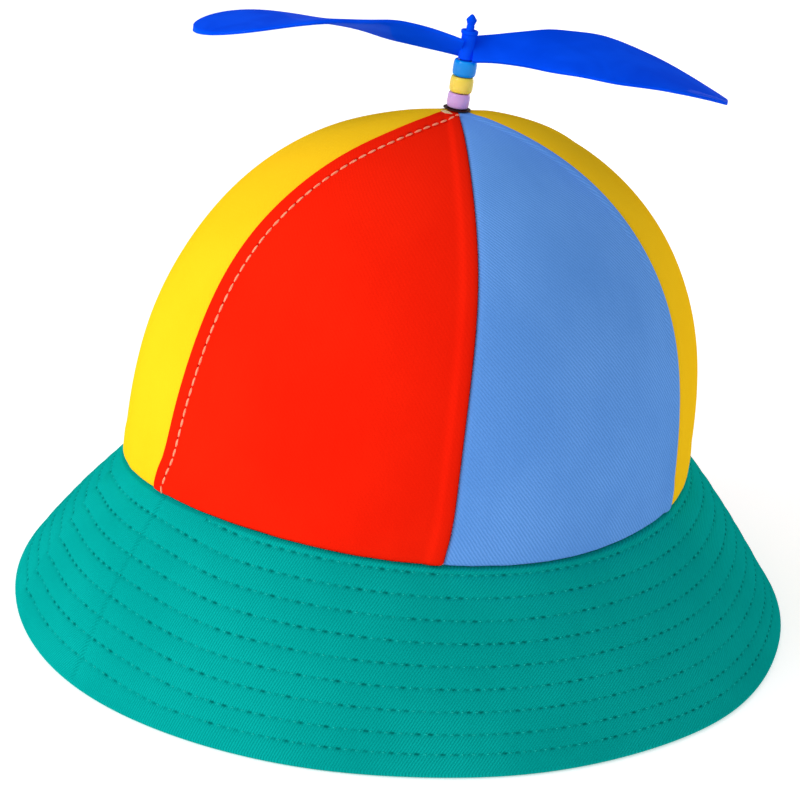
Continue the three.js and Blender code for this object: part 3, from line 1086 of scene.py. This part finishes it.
def studio_camera():
    data = bpy.data.cameras.new("camera")
    data.lens = CAMERA_LENS
    data.sensor_width = 36
    data.clip_start = 0.01
    data.clip_end = 100
    back = direction(CAMERA_TURN, CAMERA_RISE)
    right = Vector((cos(radians(CAMERA_TURN)), sin(radians(CAMERA_TURN)), 0))
    axes = Matrix((right, back.cross(right), back)).transposed().to_4x4()
    place = Vector(CAMERA_AIM) + right * CAMERA_SIDE_STEP + back * CAMERA_DISTANCE
    camera = bpy.data.objects.new("camera", data)
    camera.matrix_world = Matrix.Translation(place) @ axes @ Matrix.Rotation(radians(CAMERA_ROLL), 4, "Z")
    bpy.context.scene.collection.objects.link(camera)
    bpy.context.scene.camera = camera


def soft_light(name, turn, rise, power):
    data = bpy.data.lights.new(name, "AREA")
    data.shape = "DISK"
    data.size = KEY_SIZE
    data.energy = power
    lamp = bpy.data.objects.new(name, data)
    towards = direction(turn, rise)
    lamp.location = Vector(CAMERA_AIM) + towards * KEY_DISTANCE
    lamp.rotation_mode = "QUATERNION"
    lamp.rotation_quaternion = towards.to_track_quat("Z", "Y")
    bpy.context.scene.collection.objects.link(lamp)


# A soft dome, brighter on the key light's side, and white where the camera sees it
def light_dome():
    world = bpy.data.worlds.new("dome")
    world.use_nodes = True
    tree = world.node_tree
    tree.nodes.clear()
    seen = add_node(tree, "TexCoord").outputs["Generated"]
    facing = tuple(direction(DOME_TURN, 0))
    dot = add_node(tree, "VectorMath", {0: seen, 1: facing}, operation="DOT_PRODUCT").outputs["Value"]
    level = ramp(tree, dot, -0.7, 1.0, DOME_LOW, DOME_HIGH)
    height = add_node(tree, "SeparateXYZ", {"Vector": seen}).outputs["Z"]
    strength = maths(tree, "MULTIPLY", level, ramp(tree, height, 0.1, 0.95, 1.0, DOME_TOP))
    dome = add_node(tree, "Background", {"Color": (1, 1, 1, 1), "Strength": strength})
    backdrop = add_node(tree, "Background", {"Color": (1, 1, 1, 1), "Strength": 1.0})
    camera_ray = add_node(tree, "LightPath").outputs["Is Camera Ray"]
    mixed = add_node(tree, "MixShader", {0: camera_ray, 1: dome.outputs[0], 2: backdrop.outputs[0]})
    output = tree.nodes.new("ShaderNodeOutputWorld")
    tree.links.new(mixed.outputs[0], output.inputs[0])
    bpy.context.scene.world = world


def studio_floor():
    constants = {"Base_Color": (0.9, 0.9, 0.9, 1), "Specular_IOR_Level": 0.0, "Roughness": 0.9}
    glow = {"Emission_Color": (1, 1, 1, 1), "Emission_Strength": FLOOR_GLOW}
    material, tree, shader = start_material("floor white", **constants, **glow)
    bm = bmesh.new()
    bmesh.ops.create_grid(bm, x_segments=1, y_segments=1, size=FLOOR_SIZE / 2)
    mesh = bpy.data.meshes.new("floor")
    bm.to_mesh(mesh)
    bm.free()
    mesh.materials.append(material)
    floor_piece = bpy.data.objects.new("floor", mesh)
    bpy.context.scene.collection.objects.link(floor_piece)


def dress():
    stitched_brim()
    brim_stitches()
    crown_panel("red_back_panel", 0, RED_CLOTH, "red_cloth", "crown_panel_back_right")
    crown_panel("blue_right_panel", 1, BLUE_CLOTH, "blue_cloth", "crown_panel_right")
    crown_panel("yellow_front_panel", 2, YELLOW_CLOTH, "yellow_cloth", "crown_panel_front_right")
    crown_panel("red_front_panel", 3, RED_CLOTH, "red_cloth", "crown_panel_front_left")
    crown_panel("blue_left_panel", 4, BLUE_CLOTH, "blue_cloth", "crown_panel_left")
    crown_panel("yellow_back_panel", 5, YELLOW_CLOTH, "yellow_cloth", "crown_panel_back_left")
    back_seam_stitches()
    tip_tack()
    level = stack_on_pin()
    propeller(level)


studio_camera()
soft_light("key", KEY_TURN, KEY_RISE, KEY_POWER)
soft_light("fill", FILL_TURN, FILL_RISE, FILL_POWER)
light_dome()
studio_floor()
dress()
bpy.context.scene.view_settings.view_transform = "Standard"
